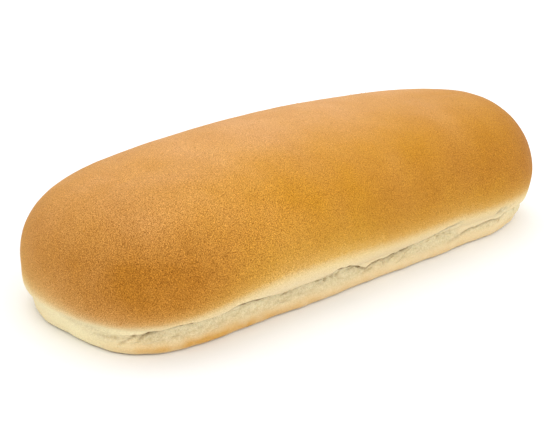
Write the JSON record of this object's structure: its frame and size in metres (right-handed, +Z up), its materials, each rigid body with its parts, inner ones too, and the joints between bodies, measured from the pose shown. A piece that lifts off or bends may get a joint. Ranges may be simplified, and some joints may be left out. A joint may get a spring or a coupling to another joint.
{
  "type": "hot dog bun",
  "caption": "Uncut soft white roll with a domed golden crust, a torn pale crease round its side and a flat sole.",
  "frame": {"origin": "middle of the bun's footprint, on the plane of its flat sole", "axes": "+X along the bun, +Z up through the crown, -Y towards the straighter long side"},
  "size_m": [0.1552, 0.0612, 0.0353],
  "materials": {
    "crust": "soft golden brown baked crust with a satin sheen, pale cream under the shoulder"
  },
  "bodies": {
    "root": {"bun": "crust"}
  },
  "joints": []
}
